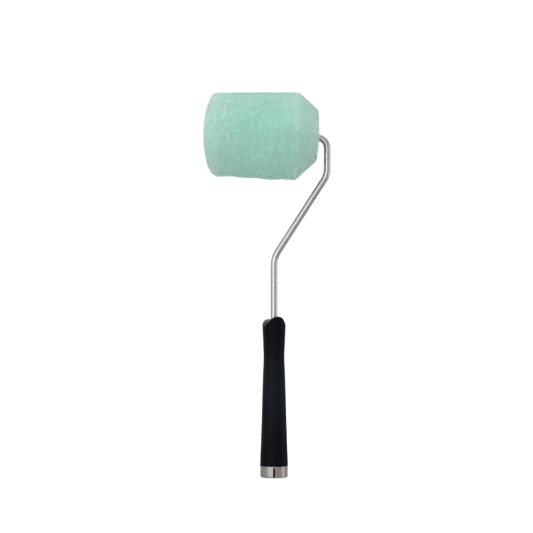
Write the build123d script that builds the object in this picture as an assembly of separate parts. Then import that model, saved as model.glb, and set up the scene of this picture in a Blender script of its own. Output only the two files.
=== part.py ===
"""Short paint roller: a bent rod in a two-material handle, carrying a five-wire cage and a slip-on nap cover.

Frame: millimetres, +Z up along the handle, +X towards the shank side of the roller, +Y to the back.
The origin is the centre of the pole socket's mouth, at the bottom of the handle.
"""

from build123d import *
from math import cos, radians, sin, tan
import os

# ---------------------------------------------------------------- driving dimensions
ROD_D = 6.35                 # quarter-inch steel rod
ROLLER_AXIS_Z = 325.3        # height of the spin axis above the socket mouth
SHANK_X = 50.9               # offset of the rod's upright beside the roller
NECK_LOW_Z = 210.2           # lower corner of the neck, on the handle's axis
NECK_HIGH_Z = 289.2          # upper corner of the neck, on the upright
END_BEND_R = 10.4            # centreline radius of the bend into the roller
NECK_HIGH_BEND_R = 21.0      # centreline radii of the two neck bends
NECK_LOW_BEND_R = 26.0
ROD_FOOT_Z = 60.0            # where the rod ends inside the handle
ROD_TIP_CHAMFER = 0.6
WING_SIZE = (2.6, 9.0, 12.0)  # flattened anchor wings near the rod's foot
WING_RISE = 9.0
WING_ROUND_R = 1.5

CORE_ID = 38.1               # bore of a standard roller cover
CORE_WALL = 1.5
CORE_LENGTH = 101.6          # four-inch cover
CORE_RIGHT_X = 38.3
BACKING_T = 1.0              # knitted backing under the pile
NAP_D = 82.0
NAP_OVERHANG = 4.6           # pile past the core at either end
NAP_BEVEL_X = 19.0           # length of the bevel on the shank side
NAP_BEVEL_R = 17.0           # how far that bevel drops
NAP_BULGE = 5.0              # how far the free end's middle stands past its corner
NAP_CORNER_X = 7.5           # length and drop of the corner there
NAP_CORNER_R = 7.5
NAP_SOFTEN_R = 5.0
NAP_LIP = 1.5                # the pile's free end is drawn in this much at the backing
NAP_LIP_X = 1.0
NAP_LIP_SHANK_X = 0.6

CAGE_WIRES = 5
WIRE_D = 2.4
WIRE_GAP = 0.3               # between the wires' crowns and the cover's bore
WIRE_SEAT_R = 15.0           # radius at which the wires enter the end caps
WIRE_BOW_RUN = 14.0          # length over which a wire rises to its crown
WIRE_BOW_BEND_R = 30.0
WIRE_SEAT_DEPTH = 6.0
WIRE_STRAIGHT = 2.0          # straight run between a cap and a wire's first bend
CAP_GAP = 0.55               # radial room between an end cap and the bore
CAP_LENGTH = 11.5
CAP_RIM_T = 1.6
CAP_WEB_T = 3.0
CAP_RIB_T = 1.6
CAP_RIB_STEP = 0.75          # ribs stop short of the cap's two faces
CAP_WEB_INSET = 2.0
CAP_BOSS_T = 1.5             # plastic round each wire
CAP_LEAD_X = 4.5             # taper that starts the cover over the free end
CAP_LEAD_R = 1.2
FLANGE_T = 2.0
FLANGE_D = 41.0
FLANGE_ROUND_R = 0.6
FLANGE_GAP = 0.2             # flange to the end of the cover's core
HUB_INSET = 1.5              # the inner hub's face lies this far inside the flange
HUB_POCKET = 1.2             # radial room round the hub there
OUTER_CAP_INSET = 4.8        # the outer cap's free face inside the core's end
HUB_D = 14.6
BUSH_D = 10.4
BUSH_FLANGE_D = 13.6
BUSH_FLANGE_T = 1.0
RUNNING_GAP = 0.05           # radial, bushes on the rod
SIDE_GAP = 0.1               # axial, bush to washer
WASHER_T = 1.0
WASHER_D = 14.0
NUT_T = 1.2
NUT_D = 13.2
NUT_TEETH = 6
NUT_DISH = 0.5
NUT_RIM_W = 1.4
NUT_SLOT = (4.0, 0.8, 3.2)
ROD_STUB = 1.3               # rod past the push nut
EAR_T = 1.9                  # stop ears, pressed out of the rod
EAR_SPAN = 9.4
EAR_W = 5.0
EAR_ROUND_R = 0.6

HANDLE_TURN = 17.0           # degrees that the handle is turned on the rod
COLLAR_Z = 151.0             # top of the hard core
COLLAR_SHOULDER_R = 9.5      # rounding of its two shoulders
COLLAR_SHOULDER_H = 20.0
FRONT_TONGUE_Z = 153.9       # tops of the soft grip's two tongues
BACK_TONGUE_Z = 147.5
TONGUE_R = 8.0
TONGUE_LOW_Z = 121.0         # where a tongue starts to narrow
GRIP_T = 1.6                 # soft grip over the hard core
PANEL_STEP = 0.25            # hard side panels lie this far below the grip
LENS_LOW_Z = 21.0            # long side panels
LENS_HIGH_Z = 90.0
LENS_HALF = 5.4
# outer shape of the handle: height, half width, half depth
HANDLE_SECTIONS = [
    (10.8, 13.45, 13.45),
    (27.0, 12.85, 12.95),
    (46.0, 12.25, 12.50),
    (65.0, 11.70, 12.05),
    (84.0, 11.05, 11.50),
    (103.0, 10.40, 10.90),
    (117.0, 10.00, 10.45),
    (126.0, 10.40, 10.95),
    (134.0, 10.90, 11.80),
    (145.0, 11.25, 12.80),
    (156.0, 11.30, 13.50),
]
# half width of a tongue, and how far up it is between its lowest point and the centre of its round top
TONGUE_EDGE = [(10.3, 0.0), (9.6, 0.32), (8.6, 0.66)]
BEYOND = 40.0                # well past every surface of the handle, for blocks that trim it

FERRULE_D = 26.3
FERRULE_T = 0.75
FERRULE_H = 10.8
FERRULE_CORNER_R = 1.0
KEY_W = 2.0                  # slots in the ferrule, filled by ribs of the core
KEY_TOP_BAND = 1.0
KEY_GAP = 0.05
KEY_RECESS = 0.12            # ribs stand this far below the ferrule's face
KEY_ROOT = 0.3

THREAD_MINOR_R = 7.65        # three-quarter-inch pole thread, five turns per inch
THREAD_MAJOR_R = 9.6
THREAD_PITCH = 5.08
THREAD_ROOT_W = 1.75
THREAD_FLANK = 14.5          # degrees
THREAD_END_Z = 26.0          # the bottom of the bore is left plain
THREAD_OVERCUT = 0.3
INSERT_D = 21.0
INSERT_L = 31.0

# ---------------------------------------------------------------- worked out
ROD_R = ROD_D / 2
CORE_R = CORE_ID / 2 + CORE_WALL
BACKING_R = CORE_R + BACKING_T
CORE_LEFT_X = CORE_RIGHT_X - CORE_LENGTH
NAP_LEFT_X = CORE_LEFT_X - NAP_OVERHANG
NAP_RIGHT_X = CORE_RIGHT_X + NAP_OVERHANG
CAP_R = CORE_ID / 2 - CAP_GAP
FLANGE_X = CORE_RIGHT_X + FLANGE_GAP
HUB_FACE_X = FLANGE_X - HUB_INSET         # shank-side face of the inner hub
INNER_WASHER_X = HUB_FACE_X + BUSH_FLANGE_T + SIDE_GAP
EAR_X = INNER_WASHER_X + WASHER_T + SIDE_GAP
CAP_INNER_X = FLANGE_X - CAP_LENGTH       # roller-side face of the inner cap
OUTER_FACE_X = CORE_LEFT_X + OUTER_CAP_INSET  # free face of the outer cap
CAP_OUTER_X = OUTER_FACE_X + CAP_LENGTH
OUTER_WASHER_X = OUTER_FACE_X - SIDE_GAP - WASHER_T
NUT_X = OUTER_WASHER_X - NUT_T
ROD_END_X = NUT_X - ROD_STUB
WIRE_R = WIRE_D / 2
WIRE_CROWN_R = CORE_ID / 2 - WIRE_GAP - WIRE_R
FERRULE_R = FERRULE_D / 2
SPIGOT_R = FERRULE_R - FERRULE_T


# ---------------------------------------------------------------- helpers
def tube_x(x0, x1, r_out, r_in=0.0):
    """A round tube or disc along the roller's axis, between two X positions."""
    at = Pos((x0 + x1) / 2, 0, ROLLER_AXIS_Z) * Rot(0, 90, 0)
    body = at * Cylinder(r_out, x1 - x0)
    return body - at * Cylinder(r_in, x1 - x0 + 2) if r_in else body


def tube_z(z0, z1, r_out, r_in=0.0):
    """A round tube or disc along the handle's axis, between two heights."""
    at = Pos(0, 0, (z0 + z1) / 2)
    body = at * Cylinder(r_out, z1 - z0)
    return body - at * Cylinder(r_in, z1 - z0 + 2) if r_in else body


def round_roller(shape, count, turn=0.0):
    """Copies of a shape, spread evenly round the roller's axis."""
    axis = Axis((0, 0, ROLLER_AXIS_Z), (1, 0, 0))
    return [shape.rotate(axis, turn + 360 / count * i) for i in range(count)]


def revolved(points):
    """A solid turned about the roller's axis from (x, radius) corners."""
    line = Polyline([(x, 0, ROLLER_AXIS_Z + r) for x, r in points], close=True)
    return revolve(make_face(line), Axis((0, 0, ROLLER_AXIS_Z), (1, 0, 0)))


def swept_rod(points, radii, section_r):
    """A round bar along straight runs joined by arcs."""
    path = FilletPolyline(*points, radius=radii)
    start = Plane(origin=path @ 0, z_dir=path % 0)
    return sweep(start * Circle(section_r), path=path)


# ---------------------------------------------------------------- frame rod
def frame_rod():
    points = [
        (ROD_END_X, 0, ROLLER_AXIS_Z),
        (SHANK_X, 0, ROLLER_AXIS_Z),
        (SHANK_X, 0, NECK_HIGH_Z),
        (0, 0, NECK_LOW_Z),
        (0, 0, ROD_FOOT_Z),
    ]
    rod = swept_rod(points, [END_BEND_R, NECK_HIGH_BEND_R, NECK_LOW_BEND_R], ROD_R)
    rod = chamfer(rod.edges().sort_by(Axis.X)[0], ROD_TIP_CHAMFER)
    ears = Pos(EAR_X + EAR_T / 2, 0, ROLLER_AXIS_Z) * Box(EAR_T, EAR_W, EAR_SPAN)
    ears = fillet(ears.edges().filter_by(Axis.Y), EAR_ROUND_R)
    wings = Pos(0, 0, ROD_FOOT_Z + WING_RISE) * Box(*WING_SIZE)
    wings = fillet(wings.edges().filter_by(Axis.X), WING_ROUND_R)
    return rod + ears + wings


# ---------------------------------------------------------------- handle
def handle_loft(inset=0.0):
    sections = [
        Pos(0, 0, z) * Ellipse(a - inset, b - inset) for z, a, b in HANDLE_SECTIONS
    ]
    return loft(sections)


def tongue_outline(top_z):
    """The soft grip seen from the front: full width below, a round tongue above."""
    centre_z = top_z - TONGUE_R
    edge = [(w, TONGUE_LOW_Z + share * (centre_z - TONGUE_LOW_Z)) for w, share in TONGUE_EDGE]
    foot = Polyline((0, -1), (BEYOND, -1), (BEYOND, TONGUE_LOW_Z - 3), edge[0])
    side = Spline(*edge, (TONGUE_R, centre_z), tangents=[(-0.15, 1), (0, 1)])
    top = ThreePointArc(
        (TONGUE_R, centre_z),
        (TONGUE_R * sin(radians(45)), centre_z + TONGUE_R * cos(radians(45))),
        (0, top_z),
    )
    half = foot + side + top
    return make_face((half + mirror(half, Plane.YZ)).edges())


def tongue_slab():
    """Everything that lies behind the grip's outline: a tall tongue in front, a lower one at the back."""
    front = extrude(Plane.XZ * tongue_outline(FRONT_TONGUE_Z), BEYOND)
    back = extrude(Plane.XZ * tongue_outline(BACK_TONGUE_Z), -BEYOND)
    return front + back


def side_lenses():
    """The long pointed windows on either side of the grip."""
    middle = (LENS_LOW_Z + LENS_HIGH_Z) / 2
    low, high = (0, LENS_LOW_Z), (0, LENS_HIGH_Z)
    front = ThreePointArc(low, (LENS_HALF, middle), high)
    back = ThreePointArc(high, (-LENS_HALF, middle), low)
    lens = extrude(Plane.YZ * make_face([front, back]), BEYOND, both=True)
    return lens - Pos(0, 0, middle) * Box(LENS_HALF * 2, BEYOND, LENS_HIGH_Z)


def collar_limit():
    """Rounds the shoulders of the hard core at its top."""
    half_width = HANDLE_SECTIONS[-1][1] - PANEL_STEP
    block = Pos(0, 0, COLLAR_Z - COLLAR_SHOULDER_H / 2) * Box(2 * half_width, BEYOND, COLLAR_SHOULDER_H)
    shoulders = block.edges().filter_by(Axis.Y).group_by(Axis.Z)[-1]
    below_h = COLLAR_Z - COLLAR_SHOULDER_H / 2
    return fillet(shoulders, COLLAR_SHOULDER_R) + Pos(0, 0, below_h / 2) * Box(BEYOND, BEYOND, below_h)


def turned(shape):
    return Rot(0, 0, HANDLE_TURN) * shape


def handle_parts(rod):
    grip_zone = tongue_slab() - side_lenses()
    inner = handle_loft(GRIP_T)
    grip = (handle_loft() & grip_zone) - inner
    panels = handle_loft(PANEL_STEP) - grip_zone
    core = turned((inner + panels) & collar_limit())
    core += tube_z(FERRULE_T, HANDLE_SECTIONS[0][0], SPIGOT_R)
    core += ferrule_keys(KEY_W - 2 * KEY_GAP, FERRULE_R - KEY_RECESS, KEY_TOP_BAND + KEY_GAP)
    core -= tube_z(-1, INSERT_L, INSERT_D / 2)
    core -= rod
    return core, turned(grip) - rod


def ferrule_keys(width, radius, top_band):
    """Two ribs, front and back, that stand in the ferrule's slots."""
    height = FERRULE_H - top_band - FERRULE_T
    bars = Pos(0, 0, FERRULE_T + height / 2) * Box(width, 2 * radius, height)
    return bars & tube_z(FERRULE_T, FERRULE_H, radius, SPIGOT_R - KEY_ROOT)


def ferrule():
    shell = tube_z(0, FERRULE_H, FERRULE_R)
    shell = fillet(shell.edges().sort_by(Axis.Z)[0], FERRULE_CORNER_R)
    shell -= tube_z(FERRULE_T, FERRULE_H + 1, SPIGOT_R)
    shell -= tube_z(-1, FERRULE_H, INSERT_D / 2)
    slot_top = FERRULE_H - KEY_TOP_BAND
    slots = Pos(0, 0, slot_top / 2 - 1) * Box(KEY_W, BEYOND, slot_top + 2)
    return shell - slots


def pole_insert():
    body = tube_z(0, INSERT_L, INSERT_D / 2, THREAD_MINOR_R)
    depth = THREAD_MAJOR_R - THREAD_MINOR_R
    mouth_w = THREAD_ROOT_W + 2 * (depth + THREAD_OVERCUT) * tan(radians(THREAD_FLANK))
    path = Helix(
        pitch=THREAD_PITCH,
        height=THREAD_END_Z + THREAD_PITCH,
        radius=THREAD_MINOR_R,
        center=(0, 0, -THREAD_PITCH),
    )
    groove = Polyline(
        (-THREAD_OVERCUT, -mouth_w / 2),
        (depth, -THREAD_ROOT_W / 2),
        (depth, THREAD_ROOT_W / 2),
        (-THREAD_OVERCUT, mouth_w / 2),
        close=True,
    )
    start = Plane(origin=path @ 0, x_dir=(1, 0, 0), z_dir=path % 0)
    cutter = sweep(start * make_face(groove), path=path, is_frenet=True)
    return body - cutter


# ---------------------------------------------------------------- cage
def cage_wires():
    """Five bowed spring wires between the end caps."""
    seat, crown = ROLLER_AXIS_Z + WIRE_SEAT_R, ROLLER_AXIS_Z + WIRE_CROWN_R
    left, right = CAP_OUTER_X, CAP_INNER_X
    points = [
        (left - WIRE_SEAT_DEPTH, 0, seat),
        (left + WIRE_STRAIGHT, 0, seat),
        (left + WIRE_STRAIGHT + WIRE_BOW_RUN, 0, crown),
        (right - WIRE_STRAIGHT - WIRE_BOW_RUN, 0, crown),
        (right - WIRE_STRAIGHT, 0, seat),
        (right + WIRE_SEAT_DEPTH, 0, seat),
    ]
    return round_roller(swept_rod(points, WIRE_BOW_BEND_R, WIRE_R), CAGE_WIRES)


def cap_body(x_in, x_out, x_web):
    """Rim, hub, web, ribs and wire bosses shared by both end caps."""
    low, high = sorted((x_in, x_out))
    web_low, web_high = sorted((x_web, x_web + (CAP_WEB_T if x_web < x_out else -CAP_WEB_T)))
    body = tube_x(low, high, CAP_R, CAP_R - CAP_RIM_T)
    body += tube_x(low, high, HUB_D / 2)
    body += tube_x(web_low, web_high, CAP_R - 0.5)
    boss = Pos((low + high) / 2, 0, ROLLER_AXIS_Z + WIRE_SEAT_R) * Rot(0, 90, 0)
    for one in round_roller(boss * Cylinder(WIRE_R + CAP_BOSS_T, high - low), CAGE_WIRES):
        body += one
    rib = Pos((low + high) / 2, 0, ROLLER_AXIS_Z + CAP_R / 2) * Box(
        high - low - 2 * CAP_RIB_STEP, CAP_RIB_T, CAP_R - 1
    )
    for one in round_roller(rib, CAGE_WIRES, 180 / CAGE_WIRES):
        body += one
    return body & tube_x(low, high, CAP_R)


def inner_end_cap(wires):
    cap = cap_body(CAP_INNER_X, FLANGE_X, CAP_INNER_X + CAP_WEB_INSET)
    cap += tube_x(FLANGE_X, FLANGE_X + FLANGE_T, FLANGE_D / 2, CAP_R - CAP_RIM_T)
    cap -= tube_x(HUB_FACE_X, FLANGE_X + FLANGE_T + 1, HUB_D / 2 + HUB_POCKET)
    cap -= tube_x(CAP_INNER_X - 1, HUB_FACE_X + 1, BUSH_D / 2)
    for wire in wires:
        cap -= wire
    rim = [
        edge
        for edge in cap.edges().filter_by(GeomType.CIRCLE)
        if abs(edge.radius - FLANGE_D / 2) < 0.01
    ]
    return fillet(rim, FLANGE_ROUND_R)


def outer_end_cap(wires):
    cap = cap_body(CAP_OUTER_X, OUTER_FACE_X, CAP_OUTER_X - CAP_WEB_INSET)
    lead_in = revolved(
        [
            (OUTER_FACE_X - 1, CAP_R - CAP_LEAD_R),
            (OUTER_FACE_X - 1, CAP_R + 1),
            (OUTER_FACE_X + CAP_LEAD_X, CAP_R + 1),
            (OUTER_FACE_X + CAP_LEAD_X, CAP_R),
            (OUTER_FACE_X, CAP_R - CAP_LEAD_R),
        ]
    )
    cap -= lead_in
    cap -= tube_x(OUTER_FACE_X - 1, OUTER_FACE_X + BUSH_FLANGE_T, BUSH_FLANGE_D / 2)
    cap -= tube_x(OUTER_FACE_X, CAP_OUTER_X + 1, BUSH_D / 2)
    for wire in wires:
        cap -= wire
    return cap


def bush(x_flange, x_end):
    """A flanged bearing bush; its flange starts at x_flange and its barrel ends at x_end."""
    toward = 1 if x_end > x_flange else -1
    x_step = x_flange + toward * BUSH_FLANGE_T
    flange = tube_x(*sorted((x_flange, x_step)), BUSH_FLANGE_D / 2)
    barrel = tube_x(*sorted((x_step, x_end)), BUSH_D / 2)
    bore = tube_x(*sorted((x_flange - toward, x_end + toward)), ROD_R + RUNNING_GAP)
    return flange + barrel - bore


def washer(x):
    return tube_x(x, x + WASHER_T, WASHER_D / 2, ROD_R + RUNNING_GAP)


def push_nut():
    """A dished spring-steel disc whose teeth bite the end of the rod."""
    disc = revolved(
        [
            (NUT_X + NUT_DISH, NUT_D / 2),
            (NUT_X + NUT_T, NUT_D / 2),
            (NUT_X + NUT_T, NUT_D / 2 - NUT_RIM_W),
            (NUT_X + NUT_DISH, ROD_R),
            (NUT_X, ROD_R),
            (NUT_X, ROD_R + NUT_DISH),
            (NUT_X + NUT_DISH, NUT_D / 2 - NUT_RIM_W),
        ]
    )
    slot = Pos(NUT_X, 0, ROLLER_AXIS_Z + ROD_R) * Box(*NUT_SLOT)
    for one in round_roller(slot, NUT_TEETH, 90 / NUT_TEETH):
        disc -= one
    return disc


# ---------------------------------------------------------------- cover
def cover_nap():
    """The pile: a plain bevel on the shank side, a bulging end with a soft corner on the other."""
    radius = NAP_D / 2
    nap = revolved(
        [
            (NAP_LEFT_X + NAP_LIP_X, BACKING_R),
            (NAP_LEFT_X, BACKING_R + NAP_LIP),
            (NAP_LEFT_X + NAP_BULGE, radius - NAP_CORNER_R),
            (NAP_LEFT_X + NAP_BULGE + NAP_CORNER_X, radius),
            (NAP_RIGHT_X - NAP_BEVEL_X, radius),
            (NAP_RIGHT_X, radius - NAP_BEVEL_R),
            (NAP_RIGHT_X - NAP_LIP_SHANK_X, BACKING_R),
        ]
    )
    corners = [
        edge
        for edge in nap.edges().filter_by(GeomType.CIRCLE)
        if edge.radius > radius - NAP_CORNER_R - 0.1 and edge.arc_center.X < 0
    ]
    return fillet(corners, NAP_SOFTEN_R)


def main():
    rod = frame_rod()
    core, grip = handle_parts(rod)
    wires = cage_wires()
    parts = {
        "frame_rod": rod,
        "handle_core": core,
        "soft_grip": grip,
        "ferrule": ferrule(),
        "pole_insert": pole_insert(),
        "inner_end_cap": inner_end_cap(wires),
        "outer_end_cap": outer_end_cap(wires),
        "inner_bush": bush(HUB_FACE_X + BUSH_FLANGE_T, CAP_INNER_X),
        "outer_bush": bush(OUTER_FACE_X, CAP_OUTER_X),
        "inner_washer": washer(INNER_WASHER_X),
        "outer_washer": washer(OUTER_WASHER_X),
        "push_nut": push_nut(),
        "cover_core": tube_x(CORE_LEFT_X, CORE_RIGHT_X, CORE_R, CORE_ID / 2),
        "cover_backing": tube_x(CORE_LEFT_X, CORE_RIGHT_X, BACKING_R, CORE_R),
        "cover_nap": cover_nap(),
    }
    for number, wire in enumerate(wires, 1):
        parts[f"cage_wire_{number}"] = wire
    os.makedirs("parts", exist_ok=True)
    for name, shape in parts.items():
        export_step(shape, f"parts/{name}.step")


main()
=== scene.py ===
"""Paint roller: finishes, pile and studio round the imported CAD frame, in metres and in its frame."""

import math

import bmesh
import bpy
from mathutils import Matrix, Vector, noise


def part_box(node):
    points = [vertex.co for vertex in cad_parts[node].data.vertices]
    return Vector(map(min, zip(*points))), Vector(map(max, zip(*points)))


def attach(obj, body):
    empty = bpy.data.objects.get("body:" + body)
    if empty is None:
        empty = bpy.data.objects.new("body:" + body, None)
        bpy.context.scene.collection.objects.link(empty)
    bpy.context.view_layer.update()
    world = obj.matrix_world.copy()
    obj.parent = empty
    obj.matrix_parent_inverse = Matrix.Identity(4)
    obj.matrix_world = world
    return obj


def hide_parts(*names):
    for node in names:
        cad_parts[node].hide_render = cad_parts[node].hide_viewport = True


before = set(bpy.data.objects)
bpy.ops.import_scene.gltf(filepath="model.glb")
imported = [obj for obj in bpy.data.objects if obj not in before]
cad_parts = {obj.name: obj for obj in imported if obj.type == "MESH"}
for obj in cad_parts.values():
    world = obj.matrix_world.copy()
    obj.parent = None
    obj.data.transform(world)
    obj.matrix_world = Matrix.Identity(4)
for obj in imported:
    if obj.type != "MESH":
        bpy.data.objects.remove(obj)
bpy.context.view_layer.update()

bl_info = {
    "name": "Paint roller",
    "version": (1, 0, 0),
    "blender": (4, 5, 0),
    "location": "3D View > Sidebar > Paint roller",
    "description": "Builds the pile, the finishes and the studio of a short paint roller",
    "category": "Object",
}

CORE_LOW, CORE_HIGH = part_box("cover_core")
BACKING_LOW, BACKING_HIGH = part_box("cover_backing")
NAP_LOW, NAP_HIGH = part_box("cover_nap")
SPIN_AXIS_Z = (CORE_LOW.z + CORE_HIGH.z) / 2
GRIP_MIDDLE_Z = sum(corner.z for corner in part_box("soft_grip")) / 2
POLISH_AND_HIGHLIGHT_REACH = 0.055           # how far above and below its middle the grip is a little glossier and painted with a paler highlight
SPIN_CENTRE = (0, 0, SPIN_AXIS_Z)
MIDDLE_X = (NAP_LOW.x + NAP_HIGH.x) / 2
HALF_LENGTH = (NAP_HIGH.x - NAP_LOW.x) / 2
COLOUR = {"subtype": "COLOR", "size": 3, "min": 0.0, "max": 1.0}

# tube and backing
TURN_STEPS = 240             # facets round the pile's bed and the backing
KNIT_WALES = 120             # stitches of the backing in one turn
KNIT_COURSE = 0.0009
WINDING_PITCH = 0.032        # travel along the tube in one turn of its winding
GLUE_GAP = 0.00005           # between the tube and the backing
BACKING_ROUND = 0.0003
SCALLOP = 0.0002             # depth of the backing's scalloped edges

# the pile's bed
BED_TONE = 0.6               # its colour, from 0 for the roots' darker painted shade to 1 for the tips'
BED_STEP = 0.0012            # from one point of its profile to the next
BED_LUMPS = ((55.0, 0.0004), (170.0, 0.0003))  # coarse and fine: bumps to the metre, and height
END_LUMPS = (70.0, 0.0005)   # the same for lumps that go along the roller
LUMP_SHIFT = Vector((3, 1, 7))  # keeps these apart from the others
SAG_SLOPE = 0.062            # the underside hangs lower towards the shank, down to a limit
SAG_ZERO_X = -0.010
SAG_LIMIT = 0.0009
WAVE_HEIGHT = 0.0003         # a slow wave along the underside
WAVE_RATE = 246.0            # radians to the metre
WAVE_CREST_X = -0.004
BEVEL_START_X = NAP_HIGH.x - 0.023  # the underside is trimmed to a cone from here to the shank end
BEVEL_DEPTH = 0.0006         # taken off where the cone starts
BEVEL_SLOPE = 0.85
UNDERCUT = 0.0012            # the shank end leans in below
UNDERCUT_LENGTH = 0.02
END_BULGE = 0.0030           # the free end stands out at front and back

# the pile's strands
PILE_COPIES = 8              # pieces that the strands are shared out to
SEED = 7
SEED_STEP = 10
LEAN_BACK_EVERY = 3          # every third piece leans the other way round the roller
LEAN = (1.1, 1.45)           # radians from upright, least and most
SWAY = 0.2                   # radians along the roller, either way
TWIST = 0.45                 # radians about the strand, either way
STRAND_SIZES = (0.75, 1.2)   # smallest and largest, as a share of the strand's length
STRAND_CURL = 0.15           # how far the tip goes sideways, as a share of the length
STRAND_NOD = 0.35            # and down, as a share of that
STRAND_BELLY = 0.9           # extra thickness near the root
BARE_RISE = 0.0006           # no strands grow this close to the backing

# studio
FLOOR_HALF_WIDTH = 60.0
FLOOR_DROP = 0.0006          # the floor lies this far under the ferrule
FLOOR_GREY = 0.35            # what the camera sees of the floor: its colour, and its own glow
FLOOR_GLOW = 0.78
FLOOR_NEAR = 0.95            # the floor's bounce close to the roller, and from a few steps away
FLOOR_FAR = 0.7
FLOOR_NEAR_REACH = 0.5       # metres from the middle where the one ends and the other begins
FLOOR_FAR_REACH = 1.3
ROOM_LEVEL = 0.55            # how bright the room is at eye level, and high up
ROOM_HIGH = 0.8
ROOM_SEEN = 1.05             # how bright the camera sees the backdrop
LIGHTS_AIM = Vector((0, 0, 0.2))
CAMERA_X = -0.0072
CAMERA_Z = 0.2016


# ---------------------------------------------------------------- settings
class RollerFinishSettings(bpy.types.PropertyGroup):
    rod_colour: bpy.props.FloatVectorProperty(
        name="Rod", description="Bright zinc plate on the rod", default=(0.50, 0.495, 0.485), **COLOUR
    )
    ferrule_colour: bpy.props.FloatVectorProperty(
        name="Ferrule", description="Satin nickel plate on the ferrule", default=(0.40, 0.362, 0.34), **COLOUR
    )
    grip_colour: bpy.props.FloatVectorProperty(
        name="Grip", description="Soft-touch grip", default=(0.0016, 0.0022, 0.0034), **COLOUR
    )
    core_colour: bpy.props.FloatVectorProperty(
        name="Handle core", description="Hard gloss plastic", default=(0.0016, 0.0019, 0.0024), **COLOUR
    )
    cap_colour: bpy.props.FloatVectorProperty(
        name="End caps", description="Satin plastic of the end caps", default=(0.62, 0.63, 0.61), **COLOUR
    )
    socket_colour: bpy.props.FloatVectorProperty(
        name="Pole socket", description="Plastic of the pole socket", default=(0.012, 0.012, 0.013), **COLOUR
    )
    nut_colour: bpy.props.FloatVectorProperty(
        name="Push nut", description="Spring steel of the push nut", default=(0.2, 0.2, 0.205), **COLOUR
    )
    bush_colour: bpy.props.FloatVectorProperty(
        name="Bushes", description="Plastic of the two bearing bushes", default=(0.72, 0.72, 0.68), **COLOUR
    )
    wire_colour: bpy.props.FloatVectorProperty(
        name="Wires", description="Bright plate on the spring wires", default=(0.45, 0.45, 0.45), **COLOUR
    )
    tube_colour: bpy.props.FloatVectorProperty(
        name="Tube", description="Plastic tube of the cover", default=(0.66, 0.67, 0.65), **COLOUR
    )


class RollerNapSettings(bpy.types.PropertyGroup):
    # painted shade: the roots are darker and more saturated than the tips, for shade deep in the pile
    shaded_root_colour: bpy.props.FloatVectorProperty(
        name="Pile roots", description="Colour deep in the pile", default=(0.315, 0.70, 0.55), **COLOUR
    )
    tip_colour: bpy.props.FloatVectorProperty(
        name="Pile tips", description="Colour at the fibres' tips", default=(0.465, 0.83, 0.70), **COLOUR
    )
    # painted sheen: the paler colour that the pile's ends and top are mixed towards
    painted_sheen_colour: bpy.props.FloatVectorProperty(
        name="Painted pile sheen", description="Colour of the painted sheen on the pile", default=(0.61, 0.82, 0.765), **COLOUR
    )
    fuzz: bpy.props.FloatProperty(
        name="Fuzz", description="Bed of the pile to the nap's outer size", default=0.0004, unit="LENGTH"
    )
    strand_length: bpy.props.FloatProperty(
        name="Strand length", description="Length of one strand of pile", default=0.0024, unit="LENGTH"
    )
    strand_width: bpy.props.FloatProperty(
        name="Strand width", description="Width of one strand at its root", default=0.00028, unit="LENGTH"
    )
    strand_density: bpy.props.FloatProperty(
        name="Strand density", description="Strands to the square metre", default=4400000.0
    )
    lopsided: bpy.props.FloatProperty(
        name="Lopsided", description="Pile added on top and taken off below", default=0.0016, unit="LENGTH"
    )
    backing_colour: bpy.props.FloatVectorProperty(
        name="Backing", description="Knitted backing under the pile", default=(0.62, 0.66, 0.60), **COLOUR
    )


class RollerStudioSettings(bpy.types.PropertyGroup):
    camera_distance: bpy.props.FloatProperty(
        name="Camera distance", description="Camera to the roller's plane", default=2.0, unit="LENGTH"
    )
    view_width: bpy.props.FloatProperty(
        name="View width", description="Width seen at the roller's plane", default=0.5105, unit="LENGTH"
    )


# ---------------------------------------------------------------- node arithmetic
class Tone:
    """A node's output socket that takes part in Python arithmetic."""

    def __init__(self, web, socket):
        self.web = web
        self.socket = socket

    def other(self, name):
        """Another output of the same node."""
        return Tone(self.web, self.socket.node.outputs[name])

    def feed(self, name):
        """Links the socket to the first input of a node that is there already."""
        self.web.tree.links.new(self.socket, self.web.tree.nodes[name].inputs[0])

    def __add__(self, value):
        return self.web.maths("ADD", self, value)

    def __mul__(self, value):
        return self.web.maths("MULTIPLY", self, value)

    def __sub__(self, value):
        return self.web.maths("SUBTRACT", self, value)

    def __rsub__(self, value):
        return self.web.maths("SUBTRACT", value, self)

    __radd__ = __add__
    __rmul__ = __mul__


class Web:
    """A node tree under construction."""

    def __init__(self, tree):
        self.tree = tree

    def put(self, socket, value):
        """Links a Tone to a socket, or sets the socket to a plain value."""
        if isinstance(value, Tone):
            self.tree.links.new(value.socket, socket)
        elif hasattr(value, "__len__") and len(value) == 3 and len(socket.default_value) == 4:
            socket.default_value = (*value, 1.0)
        else:
            socket.default_value = value

    def node(self, kind, settings=None, inputs=None, output=0):
        """Adds a node, sets it, feeds its sockets and returns one of its outputs."""
        made = self.tree.nodes.new(kind)
        for name, value in (settings or {}).items():
            setattr(made, name, value)
        for key, value in (inputs or {}).items():
            self.put(made.inputs[key], value)
        return Tone(self, made.outputs[output])

    def maths(self, operation, a, b=0.0):
        """A sum, product or other function of one or two values."""
        return self.node("ShaderNodeMath", {"operation": operation}, {0: a, 1: b})

    def mix(self, factor, a, b):
        """A colour between a and b."""
        settings = {"data_type": "RGBA", "clamp_factor": True}
        return self.node("ShaderNodeMix", settings, {0: factor, 6: a, 7: b}, output=2)

    def ramp(self, value, low, high, out_low=0.0, out_high=1.0):
        """Value taken from the range low..high to out_low..out_high."""
        sockets = {"Value": value, "From Min": low, "From Max": high, "To Min": out_low, "To Max": out_high}
        return self.node("ShaderNodeMapRange", None, sockets)


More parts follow.
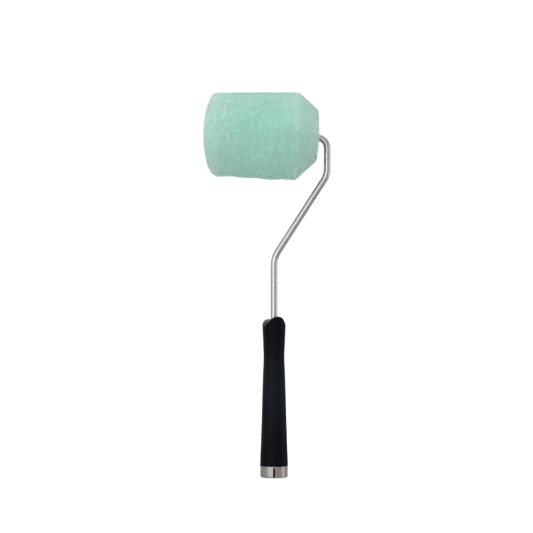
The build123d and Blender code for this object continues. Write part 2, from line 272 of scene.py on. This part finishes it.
class Finish(Web):
    """A material under construction."""

    def __init__(self, name):
        self.material = bpy.data.materials.new(name)
        self.material.use_nodes = True
        super().__init__(self.material.node_tree)
        self.shader = self.tree.nodes["Principled BSDF"]

    def place(self, stretch=(1, 1, 1), centre=(0, 0, 0)):
        """Object coordinates about a centre, stretched."""
        where = self.node("ShaderNodeTexCoord", output="Object")
        shift = [-c * s for c, s in zip(centre, stretch)]
        return self.node("ShaderNodeMapping", None, {"Vector": where, "Location": shift, "Scale": stretch})

    def noise(self, scale, stretch=(1, 1, 1), detail=2.0):
        """Smooth noise from 0 to 1, with about scale bumps to the metre."""
        sockets = {"Vector": self.place(stretch), "Scale": scale, "Detail": detail}
        return self.node("ShaderNodeTexNoise", None, sockets, output="Fac")

    def attribute(self, name):
        """A number that the mesh holds at each point."""
        return self.node("ShaderNodeAttribute", {"attribute_name": name}, output="Fac")

    def split(self, centre=(0, 0, 0)):
        """Object coordinates about a centre, with outputs X, Y and Z."""
        return self.node("ShaderNodeSeparateXYZ", None, {0: self.place(centre=centre)})

    def turn(self, where):
        """Turns round the X axis, from 0 to 1."""
        return self.maths("ARCTAN2", where.other("Z"), where.other("Y")) * (0.5 / math.pi) + 0.5

    def bump(self, height, distance, strength):
        """Normals tilted by a height that ranges over a distance in metres."""
        sockets = {"Height": height, "Distance": distance, "Strength": strength}
        return self.node("ShaderNodeBump", None, sockets)

    def surface(self, **values):
        """Feeds the shader's sockets; underscores in names stand for spaces."""
        for name, value in values.items():
            self.put(self.shader.inputs[name.replace("_", " ")], value)
        return self.material


# ---------------------------------------------------------------- finishes
def zinc_plate(name, colour, roughness=0.2):
    """Bright plated steel with faint cloudiness and fine handling marks."""
    f = Finish(name)
    cloud = f.noise(140.0, detail=3.0)
    fine = f.noise(2600.0)
    tint = f.mix(f.ramp(cloud, 0.3, 0.75), [c * 0.88 for c in colour], colour)
    return f.surface(
        Base_Color=tint,
        Metallic=1.0,
        Roughness=f.ramp(cloud, 0.3, 0.7, roughness, roughness + 0.08),
        Normal=f.bump(fine, 0.00002, 0.03),
    )


def nickel_plate(name, colour):
    """Satin nickel, turned, with fine rings round the ferrule."""
    f = Finish(name)
    rings = f.noise(1800.0, stretch=(0.06, 0.06, 3.0))
    cloud = f.noise(160.0, detail=3.0)
    tint = f.mix(f.ramp(cloud, 0.3, 0.7), [c * 0.85 for c in colour], colour)
    return f.surface(
        Base_Color=tint,
        Metallic=1.0,
        Roughness=0.34 + (rings - 0.5) * 0.16,
        Normal=f.bump(rings, 0.00002, 0.4),
    )


def soft_touch(name, colour):
    """Satin moulded rubber with a fine leathery grain, a little glossier and painted with a paler highlight
    round its middle.
    """
    f = Finish(name)
    grain = f.noise(2400.0, detail=1.0)
    cloud = f.noise(60.0, detail=4.0)
    polish_and_painted_highlight = 1 - f.ramp(f.maths("ABSOLUTE", f.split().other("Z") - GRIP_MIDDLE_Z), 0.0, POLISH_AND_HIGHLIGHT_REACH)
    # painted highlight: the grip's middle is made up to 3.2 times brighter, with random cloudy tone mixed in
    tint = f.mix(polish_and_painted_highlight * 0.8 + (cloud - 0.5) * 0.4, colour, [c * 3.2 for c in colour])
    f.surface(Specular_IOR_Level=0.05)
    return f.surface(
        Base_Color=tint,
        Roughness=f.ramp(cloud, 0.3, 0.7, 0.4, 0.5) - polish_and_painted_highlight * 0.06,
        Normal=f.bump(grain, 0.00008, 0.5),
    )


def gloss_plastic(name, colour):
    """Hard moulded plastic with slight flow marks and hair scratches."""
    f = Finish(name)
    flow = f.noise(45.0)
    hair = f.noise(900.0, stretch=(4.0, 4.0, 0.15))
    f.surface(Specular_IOR_Level=0.04)
    return f.surface(
        Base_Color=f.mix(f.ramp(flow, 0.3, 0.7), colour, [c * 1.25 for c in colour]),
        Roughness=f.ramp(hair, 0.45, 0.8, 0.2, 0.34),
        Normal=f.bump(flow, 0.00025, 0.3),
    )


def satin_plastic(name, colour, roughness=0.42):
    """Moulded plastic with a spark-eroded texture."""
    f = Finish(name)
    grain = f.noise(3200.0, detail=1.0)
    cloud = f.noise(90.0, detail=3.0)
    return f.surface(
        Base_Color=f.mix(f.ramp(cloud, 0.3, 0.7), colour, [min(1.0, c * 1.2) for c in colour]),
        Roughness=f.ramp(cloud, 0.3, 0.7, roughness, roughness + 0.1),
        Normal=f.bump(grain, 0.00005, 0.4),
    )


def pile_fibre(name, nap, standing):
    """Matted synthetic pile: roots darkened as painted shade, brushed streaks, ends and crown paled as
    painted sheen, and a soft sheen.
    """
    f = Finish(name)
    # painted shade: each strand darkens from its tip to its root; random tone per strand, in streaks and in
    # tangles, is added below
    depth = f.ramp(f.attribute("along"), 0.0, 0.7) if standing else BED_TONE
    shade = f.attribute("shade")
    streak = f.noise(150.0, stretch=(3.0, 0.4, 0.4), detail=3.0)
    tangle = f.noise(260.0, stretch=(0.8, 1.4, 1.4))
    depth = depth - 0.1 + (shade - 0.5) * 0.4 + (streak - 0.5) * 2.0 + (tangle - 0.5) * 1.6
    green = f.mix(depth, nap.shaded_root_colour, nap.tip_colour)

    where = f.split(SPIN_CENTRE)
    # painted sheen: the pile is mixed towards a paler colour near both ends and over the top, in random
    # patches
    end = f.maths("ABSOLUTE", where.other("X") - MIDDLE_X) * (1 / HALF_LENGTH)
    crown = f.ramp(where.other("Z"), 0.015, 0.045)
    cloud = f.noise(60.0, detail=3.0)
    painted_sheen = f.ramp(end + (cloud - 0.5) * 0.7 + crown * 0.3, 0.45, 1.0, 0.1, 0.8)
    f.surface(Sheen_Weight=0.8, Sheen_Roughness=0.5, Specular_IOR_Level=0.1)
    return f.surface(Base_Color=f.mix(painted_sheen, green, nap.painted_sheen_colour), Roughness=0.9)


def knit(name, colour):
    """Close-knit backing cloth, in wales and courses round the tube, with painted shade between the loops."""
    f = Finish(name)
    where = f.split(SPIN_CENTRE)
    wale = f.maths("SINE", f.turn(where) * (2 * math.pi * KNIT_WALES))
    course = f.maths("SINE", where.other("X") * (2 * math.pi / KNIT_COURSE) + wale * 1.4)
    loop = (wale * 0.5 + 0.5) * (course * 0.5 + 0.5)
    cloud = f.noise(150.0, detail=3.0)
    # painted shade: darker, down to 0.55 of the colour, where the loops dip between stitches
    tint = f.mix(loop, [c * 0.55 for c in colour], colour)
    return f.surface(
        Base_Color=f.mix(f.ramp(cloud, 0.3, 0.7, 0.0, 0.3), tint, [c * 0.8 for c in colour]),
        Roughness=0.9,
        Normal=f.bump(loop, 0.0003, 0.8),
    )


def wound_tube(name, colour):
    """A plastic tube wound from strip, with the strip's seam running round it."""
    f = Finish(name)
    where = f.split(SPIN_CENTRE)
    lap = f.maths("FRACT", f.turn(where) + where.other("X") * (1 / WINDING_PITCH))
    seam = f.ramp(f.maths("ABSOLUTE", lap - 0.5), 0.0, 0.03, 1.0, 0.0)
    cloud = f.noise(80.0, detail=3.0)
    tint = f.mix(f.ramp(cloud, 0.3, 0.7), [c * 0.9 for c in colour], colour)
    return f.surface(
        Base_Color=f.mix(seam * 0.5, tint, [c * 0.6 for c in colour]),
        Roughness=f.ramp(cloud, 0.3, 0.7, 0.4, 0.52),
        Normal=f.bump(seam, -0.0003, 0.7),
    )


# ---------------------------------------------------------------- mesh helpers
def baked(name, shape):
    """The mesh of a finished bmesh."""
    mesh = bpy.data.meshes.new(name)
    shape.to_mesh(mesh)
    shape.free()
    return mesh


def placed(name, data):
    """A new object in the scene."""
    made = bpy.data.objects.new(name, data)
    bpy.context.scene.collection.objects.link(made)
    return made


def finished(name, mesh, material, body, slot, *nodes):
    """A new piece with its finish, riding on its body in place of its CAD nodes."""
    piece = placed(name, mesh)
    mesh.materials.clear()
    mesh.materials.append(material)
    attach(piece, body)
    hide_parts(*nodes)


def spun(points):
    """A closed skin turned round the roller's axis from (x, radius) points."""
    skin = bmesh.new()
    ring = [skin.verts.new((x, 0, SPIN_AXIS_Z + radius)) for x, radius in points]
    edges = [skin.edges.new(pair) for pair in zip(ring, ring[1:] + ring[:1])]
    bmesh.ops.spin(
        skin,
        geom=ring + edges,
        cent=SPIN_CENTRE,
        axis=(1, 0, 0),
        angle=2 * math.pi,
        steps=TURN_STEPS,
        use_merge=True,
    )
    bmesh.ops.recalc_face_normals(skin, faces=skin.faces)
    return skin


def between(value, low, high):
    """How far a value has gone from low to high, from 0 to 1."""
    return min(1.0, max(0.0, (value - low) / (high - low)))


def paced(a, b, step):
    """Evenly spaced points from a towards b, without b."""
    count = max(1, round(math.dist(a, b) / step))
    return [(a[0] + (b[0] - a[0]) * i / count, a[1] + (b[1] - a[1]) * i / count) for i in range(count)]


def strand(length, width):
    """One tapered strand of pile that stands on the origin and curls slightly towards +X."""
    tuft = bmesh.new()
    along = tuft.verts.layers.float.new("along")
    bmesh.ops.create_cone(tuft, cap_ends=True, segments=3, radius1=width / 2, radius2=0, depth=length)
    bmesh.ops.translate(tuft, verts=tuft.verts, vec=(0, 0, length / 2))
    everything = tuft.verts[:] + tuft.edges[:] + tuft.faces[:]
    bmesh.ops.bisect_plane(tuft, geom=everything, plane_co=(0, 0, length / 2), plane_no=(0, 0, 1))
    for vert in tuft.verts:
        share = vert.co.z / length
        fullness = 1.0 + STRAND_BELLY * math.sin(math.pi * share) * (1 - share)
        hook = STRAND_CURL * length * share * share
        vert.co.x = vert.co.x * fullness + hook
        vert.co.y *= fullness
        vert.co.z -= STRAND_NOD * hook
        vert[along] = share
    for face in tuft.faces:
        face.smooth = True
    return placed("Strand", baked("Strand", tuft))


def strew(bed, tuft, density, seed, least, most):
    """A mesh of tufts strewn over a bed, each tilted from upright by angles between least and most."""
    group = bpy.data.node_groups.new("Strew", "GeometryNodeTree")
    group.interface.new_socket("Geometry", in_out="INPUT", socket_type="NodeSocketGeometry")
    group.interface.new_socket("Geometry", in_out="OUTPUT", socket_type="NodeSocketGeometry")
    web = Web(group)

    start = web.node("NodeGroupInput")
    points = web.node(
        "GeometryNodeDistributePointsOnFaces", None, {"Mesh": start, "Density": density, "Seed": seed}
    )
    facing = web.node(
        "FunctionNodeAlignRotationToVector",
        {"axis": "X", "pivot_axis": "Z"},
        {"Rotation": points.other("Rotation"), "Vector": (1, 0, 0)},
    )
    tilt = web.node(
        "FunctionNodeRandomValue",
        {"data_type": "FLOAT_VECTOR"},
        {"Min": least, "Max": most, "Seed": seed + 1},
    )
    turned = web.node(
        "FunctionNodeRotateRotation", {"rotation_space": "LOCAL"}, {"Rotation": facing, "Rotate By": tilt}
    )
    small, large = STRAND_SIZES
    size = web.node("FunctionNodeRandomValue", None, {2: small, 3: large, "Seed": seed + 2}, output=1)
    shade = web.node("FunctionNodeRandomValue", None, {2: 0.0, 3: 1.0, "Seed": seed + 3}, output=1)
    one = web.node("GeometryNodeObjectInfo", None, {"Object": tuft}, output="Geometry")
    strewn = web.node(
        "GeometryNodeInstanceOnPoints",
        None,
        {"Points": points, "Instance": one, "Rotation": turned, "Scale": size},
    )
    shaded = web.node(
        "GeometryNodeStoreNamedAttribute",
        {"data_type": "FLOAT", "domain": "INSTANCE"},
        {"Geometry": strewn, "Name": "shade", "Value": shade},
    )
    real = web.node("GeometryNodeRealizeInstances", None, {"Geometry": shaded})
    end = group.nodes.new("NodeGroupOutput")
    group.links.new(real.socket, end.inputs[0])

    worker = placed("Strewer", bed)
    worker.modifiers.new("Strew", "NODES").node_group = group
    graph = bpy.context.evaluated_depsgraph_get()
    mesh = bpy.data.meshes.new_from_object(worker.evaluated_get(graph), depsgraph=graph)
    bpy.data.objects.remove(worker)
    return mesh


def recoat(material, *nodes):
    """Gives CAD nodes a new finish."""
    for node in nodes:
        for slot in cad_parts[node].material_slots:
            slot.material = material


# ---------------------------------------------------------------- operators
class ROLLER_OT_handle(bpy.types.Operator):
    """Finish the handle: hard core, soft grip, ferrule and pole socket"""

    bl_idname = "roller.handle"
    bl_label = "Handle"

    def execute(self, context):
        finish = context.scene.roller_finish
        recoat(gloss_plastic("Handle core gloss", finish.core_colour), "handle_core")
        recoat(soft_touch("Grip soft touch", finish.grip_colour), "soft_grip")
        recoat(nickel_plate("Ferrule nickel", finish.ferrule_colour), "ferrule")
        recoat(satin_plastic("Socket plastic", finish.socket_colour), "pole_insert")
        return {"FINISHED"}


class ROLLER_OT_rod(bpy.types.Operator):
    """Finish the bent rod and the hardware that holds the cage on it"""

    bl_idname = "roller.rod"
    bl_label = "Rod"

    def execute(self, context):
        finish = context.scene.roller_finish
        recoat(zinc_plate("Rod zinc", finish.rod_colour), "frame_rod")
        recoat(zinc_plate("Washer zinc", finish.rod_colour, 0.3), "inner_washer", "outer_washer")
        recoat(zinc_plate("Push nut steel", finish.nut_colour, 0.34), "push_nut")
        return {"FINISHED"}


class ROLLER_OT_cage(bpy.types.Operator):
    """Finish the cage: end caps, bushes and spring wires"""

    bl_idname = "roller.cage"
    bl_label = "Cage"

    def execute(self, context):
        finish = context.scene.roller_finish
        recoat(satin_plastic("End cap plastic", finish.cap_colour), "inner_end_cap", "outer_end_cap")
        recoat(satin_plastic("Bush plastic", finish.bush_colour, 0.36), "inner_bush", "outer_bush")
        wires = [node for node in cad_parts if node.startswith("cage_wire")]
        recoat(zinc_plate("Spring wire", finish.wire_colour, 0.18), *wires)
        return {"FINISHED"}


class ROLLER_OT_cover(bpy.types.Operator):
    """Build the cover: tube, knitted backing and pile"""

    bl_idname = "roller.cover"
    bl_label = "Cover"

    def execute(self, context):
        nap = context.scene.roller_nap
        recoat(wound_tube("Cover tube", context.scene.roller_finish.tube_colour), "cover_core")
        knitted = knit("Backing knit", nap.backing_colour)
        sleeve = baked("backing", self.backing())
        finished("backing", sleeve, knitted, "cover", "backing_fabric", "cover_backing")
        bed = self.bed(nap)
        self.strands(nap, bed)
        matted = pile_fibre("Pile bed fibre", nap, standing=False)
        finished("pile_bed", baked("pile_bed", bed), matted, "cover", "nap_fabric", "cover_nap")
        return {"FINISHED"}

    def strands(self, nap, bed):
        """Strands strewn over all of the bed but its inner wall, in several like pieces."""
        crown = bed.copy()
        bare = BACKING_HIGH.z - SPIN_AXIS_Z + BARE_RISE
        hidden = [face for face in crown.faces if self.radius(face.calc_center_median()) < bare]
        bmesh.ops.delete(crown, geom=hidden, context="FACES")
        ground = baked("Pile ground", crown)
        tuft = strand(nap.strand_length, nap.strand_width)
        fibre = pile_fibre("Pile fibre", nap, standing=True)
        for copy in range(PILE_COPIES):
            lean = LEAN if copy % LEAN_BACK_EVERY else (-LEAN[1], -LEAN[0])
            strewn = strew(
                ground, tuft, nap.strand_density / PILE_COPIES, SEED_STEP * copy + SEED,
                (lean[0], -SWAY, -TWIST), (lean[1], SWAY, TWIST),
            )
            finished(f"pile_strands_{copy + 1}", strewn, fibre, "cover", "nap_fabric", "cover_nap")
        bpy.data.objects.remove(tuft)

    def radius(self, place):
        """Distance from the roller's axis."""
        return math.hypot(place.y, place.z - SPIN_AXIS_Z)

    def backing(self):
        """A thin knitted tube with a scalloped raw edge at each end."""
        inner = CORE_HIGH.z - SPIN_AXIS_Z + GLUE_GAP
        outer = BACKING_HIGH.z - SPIN_AXIS_Z
        left, right = BACKING_LOW.x, BACKING_HIGH.x
        corners = [
            (left, inner),
            (left, outer - BACKING_ROUND),
            (left + BACKING_ROUND, outer),
            (right - BACKING_ROUND, outer),
            (right, outer - BACKING_ROUND),
            (right, inner),
        ]
        skin = spun(corners)
        for vert in skin.verts:
            turn = math.atan2(vert.co.z - SPIN_AXIS_Z, vert.co.y)
            near_end = vert.co.x < left + 2 * BACKING_ROUND or vert.co.x > right - 2 * BACKING_ROUND
            if near_end:
                inward = 1 if vert.co.x < MIDDLE_X else -1
                vert.co.x += inward * SCALLOP * (1 + math.sin(turn * KNIT_WALES / 2))
        return skin

    def bed(self, nap):
        """The solid heart of the pile, just below the tips, softly lumpy and a little lopsided."""
        inner = BACKING_HIGH.z - SPIN_AXIS_Z
        outer = NAP_HIGH.z - SPIN_AXIS_Z
        skin = spun(self.bed_profile(inner, outer))
        skin.normal_update()
        for vert in skin.verts:
            vert.co -= vert.normal * nap.fuzz
        for vert in skin.verts:
            self.settle(vert, nap, inner, outer)
        return skin

    def bed_profile(self, inner, outer):
        """Points round the bed's section, as (x, radius)."""
        left, right = NAP_LOW.x, NAP_HIGH.x
        free_end = [
            (left + 0.0052, inner),
            (left + 0.0042, inner + 0.0008),
            (left + 0.0040, inner + 0.0030),
            (left + 0.0046, inner + 0.0080),
            (left + 0.0060, outer - 0.0075),
            (left + 0.0080, outer - 0.0036),
            (left + 0.0106, outer - 0.0010),
            (left + 0.0140, outer),
        ]
        bevel = [
            (right - 0.0208, outer),
            (right - 0.0188, outer - 0.0004),
            (right - 0.0168, outer - 0.0015),
            (right - 0.0014, inner + 0.0046),
            (right - 0.0003, inner + 0.0018),
            (right - 0.0008, inner),
        ]
        corners = free_end + bevel
        profile = []
        for a, b in zip(corners, corners[1:] + corners[:1]):
            profile += paced(a, b, BED_STEP)
        return profile

    def settle(self, vert, nap, inner, outer):
        """Moves one point of the bed to where worn, hanging pile would have it."""
        x = vert.co.x
        outward = Vector((0, vert.co.y, vert.co.z - SPIN_AXIS_Z)).normalized()
        share = between(self.radius(vert.co), inner, outer)
        underside = max(0.0, -outward.z)
        sag = min(SAG_LIMIT, SAG_SLOPE * (x - SAG_ZERO_X))
        sag += WAVE_HEIGHT * math.cos(WAVE_RATE * (x - WAVE_CREST_X))
        lump = sum(noise.noise(vert.co * rate) * height for rate, height in BED_LUMPS)
        end_rate, end_height = END_LUMPS
        shift = noise.noise(vert.co * end_rate + LUMP_SHIFT) * end_height
        swell = (nap.lopsided * outward.z + sag * underside + lump) * share
        cone = outer - BEVEL_DEPTH - BEVEL_SLOPE * (x - BEVEL_START_X)
        trimmed = max(0.0, self.radius(vert.co) + swell - cone) * underside
        free_end = 1 - between(x, NAP_LOW.x + 0.005, NAP_LOW.x + 0.009)
        shank_end = between(x, BEVEL_START_X, BEVEL_START_X + UNDERCUT_LENGTH)
        vert.co += outward * (swell - trimmed)
        vert.co.x += shift * share - END_BULGE * free_end * outward.y * outward.y
        vert.co.x -= UNDERCUT * underside * shank_end


class ROLLER_OT_studio(bpy.types.Operator):
    """Set up the floor, the lights and the camera"""

    bl_idname = "roller.studio"
    bl_label = "Studio"

    def execute(self, context):
        studio = context.scene.roller_studio
        scene = context.scene
        scene.view_settings.view_transform = "Standard"
        self.floor()
        self.world(scene)
        self.lights()
        self.camera(scene, studio)
        return {"FINISHED"}

    def floor(self):
        """A white floor that bounces light up, most of it from close by, and that metal doesn't mirror."""
        sheet = bmesh.new()
        bmesh.ops.create_grid(sheet, x_segments=1, y_segments=1, size=FLOOR_HALF_WIDTH)
        bmesh.ops.translate(sheet, verts=sheet.verts, vec=(0, 0, -FLOOR_DROP))
        floor = placed("studio_floor", baked("studio_floor", sheet))
        f = Finish("Floor white")
        white = {"Base Color": (FLOOR_GREY,) * 3, "Roughness": 1.0, "Emission Color": (1, 1, 1)}
        seen = f.node("ShaderNodeBsdfPrincipled", None, {**white, "Emission Strength": FLOOR_GLOW})
        far = f.node("ShaderNodeVectorMath", {"operation": "LENGTH"}, {0: f.place()}, output="Value")
        shade = f.mix(f.ramp(far, FLOOR_NEAR_REACH, FLOOR_FAR_REACH), (FLOOR_NEAR,) * 3, (FLOOR_FAR,) * 3)
        bounce = f.node("ShaderNodeBsdfDiffuse", None, {"Color": shade})
        camera_ray = f.node("ShaderNodeLightPath", output="Is Camera Ray")
        f.node("ShaderNodeMixShader", None, {0: camera_ray, 1: bounce, 2: seen}).feed("Material Output")
        floor.data.materials.append(f.material)
        floor.visible_glossy = False

    def world(self, scene):
        """White behind the roller; a dimmer room, brighter high up, lights it."""
        world = bpy.data.worlds.new("Studio world")
        world.use_nodes = True
        scene.world = world
        room = Web(world.node_tree)
        heading = room.node("ShaderNodeTexCoord", output="Generated")
        height = room.node("ShaderNodeSeparateXYZ", None, {0: heading}).other("Z")
        glow = room.ramp(height, 0.1, 0.6, ROOM_LEVEL, ROOM_HIGH)
        lit = room.node("ShaderNodeBackground", None, {"Color": (1, 1, 1), "Strength": glow})
        seen = room.node("ShaderNodeBackground", None, {"Color": (1, 1, 1), "Strength": ROOM_SEEN})
        camera_ray = room.node("ShaderNodeLightPath", output="Is Camera Ray")
        room.node("ShaderNodeMixShader", None, {0: camera_ray, 1: lit, 2: seen}).feed("World Output")

    def lights(self):
        """Softboxes in front, at both sides and overhead; the overhead one stays out of reflections."""
        self.softbox("Key", (-0.95, -1.95, 0.35), width=2.4, height=1.5, radiance=1.5)
        self.softbox("Left", (-2.1, -0.3, 0.42), width=0.8, height=0.5, radiance=1.0)
        self.softbox("Fill", (2.1, -0.3, 0.3), width=0.7, height=1.2, radiance=1.9)
        overhead = self.softbox("Top", (-0.4, -0.7, 1.9), width=2.4, height=2.4, radiance=1.7)
        overhead.visible_glossy = False

    def softbox(self, name, place, width, height, radiance):
        """A rectangular lamp that faces the roller, set by how bright its face is."""
        data = bpy.data.lights.new(name, "AREA")
        data.shape = "RECTANGLE"
        data.size = width
        data.size_y = height
        data.energy = radiance * math.pi * width * height
        lamp = placed(name, data)
        lamp.location = place
        lamp.visible_camera = False
        lamp.rotation_euler = (LIGHTS_AIM - Vector(place)).to_track_quat("-Z", "Y").to_euler()
        return lamp

    def camera(self, scene, studio):
        """A level camera in front, as far off and as long as the settings say."""
        data = bpy.data.cameras.new("Camera")
        data.sensor_width = 36.0
        data.lens = data.sensor_width * studio.camera_distance / studio.view_width
        data.clip_end = 200.0
        camera = placed("Camera", data)
        camera.location = (CAMERA_X, -studio.camera_distance, CAMERA_Z)
        camera.rotation_euler = (math.radians(90), 0, 0)
        scene.camera = camera


OPERATORS = [ROLLER_OT_handle, ROLLER_OT_rod, ROLLER_OT_cage, ROLLER_OT_cover, ROLLER_OT_studio]


class ROLLER_PT_panel(bpy.types.Panel):
    """The steps that build the paint roller, in order"""

    bl_idname = "ROLLER_PT_panel"
    bl_label = "Paint roller"
    bl_space_type = "VIEW_3D"
    bl_region_type = "UI"
    bl_category = "Paint roller"

    def draw(self, context):
        for group in ("roller_finish", "roller_nap", "roller_studio"):
            settings = getattr(context.scene, group)
            for name in settings.__annotations__:
                self.layout.prop(settings, name)
        for step in OPERATORS:
            self.layout.operator(step.bl_idname)


SETTINGS = {
    "roller_finish": RollerFinishSettings,
    "roller_nap": RollerNapSettings,
    "roller_studio": RollerStudioSettings,
}


def register():
    for group, settings in SETTINGS.items():
        bpy.utils.register_class(settings)
        setattr(bpy.types.Scene, group, bpy.props.PointerProperty(type=settings))
    for step in OPERATORS:
        bpy.utils.register_class(step)
    bpy.utils.register_class(ROLLER_PT_panel)


def unregister():
    bpy.utils.unregister_class(ROLLER_PT_panel)
    for step in reversed(OPERATORS):
        bpy.utils.unregister_class(step)
    for group, settings in SETTINGS.items():
        delattr(bpy.types.Scene, group)
        bpy.utils.unregister_class(settings)


def main():
    register()
    for step in OPERATORS:
        group, name = step.bl_idname.split(".")
        getattr(getattr(bpy.ops, group), name)()


if __name__ == "__main__":
    main()
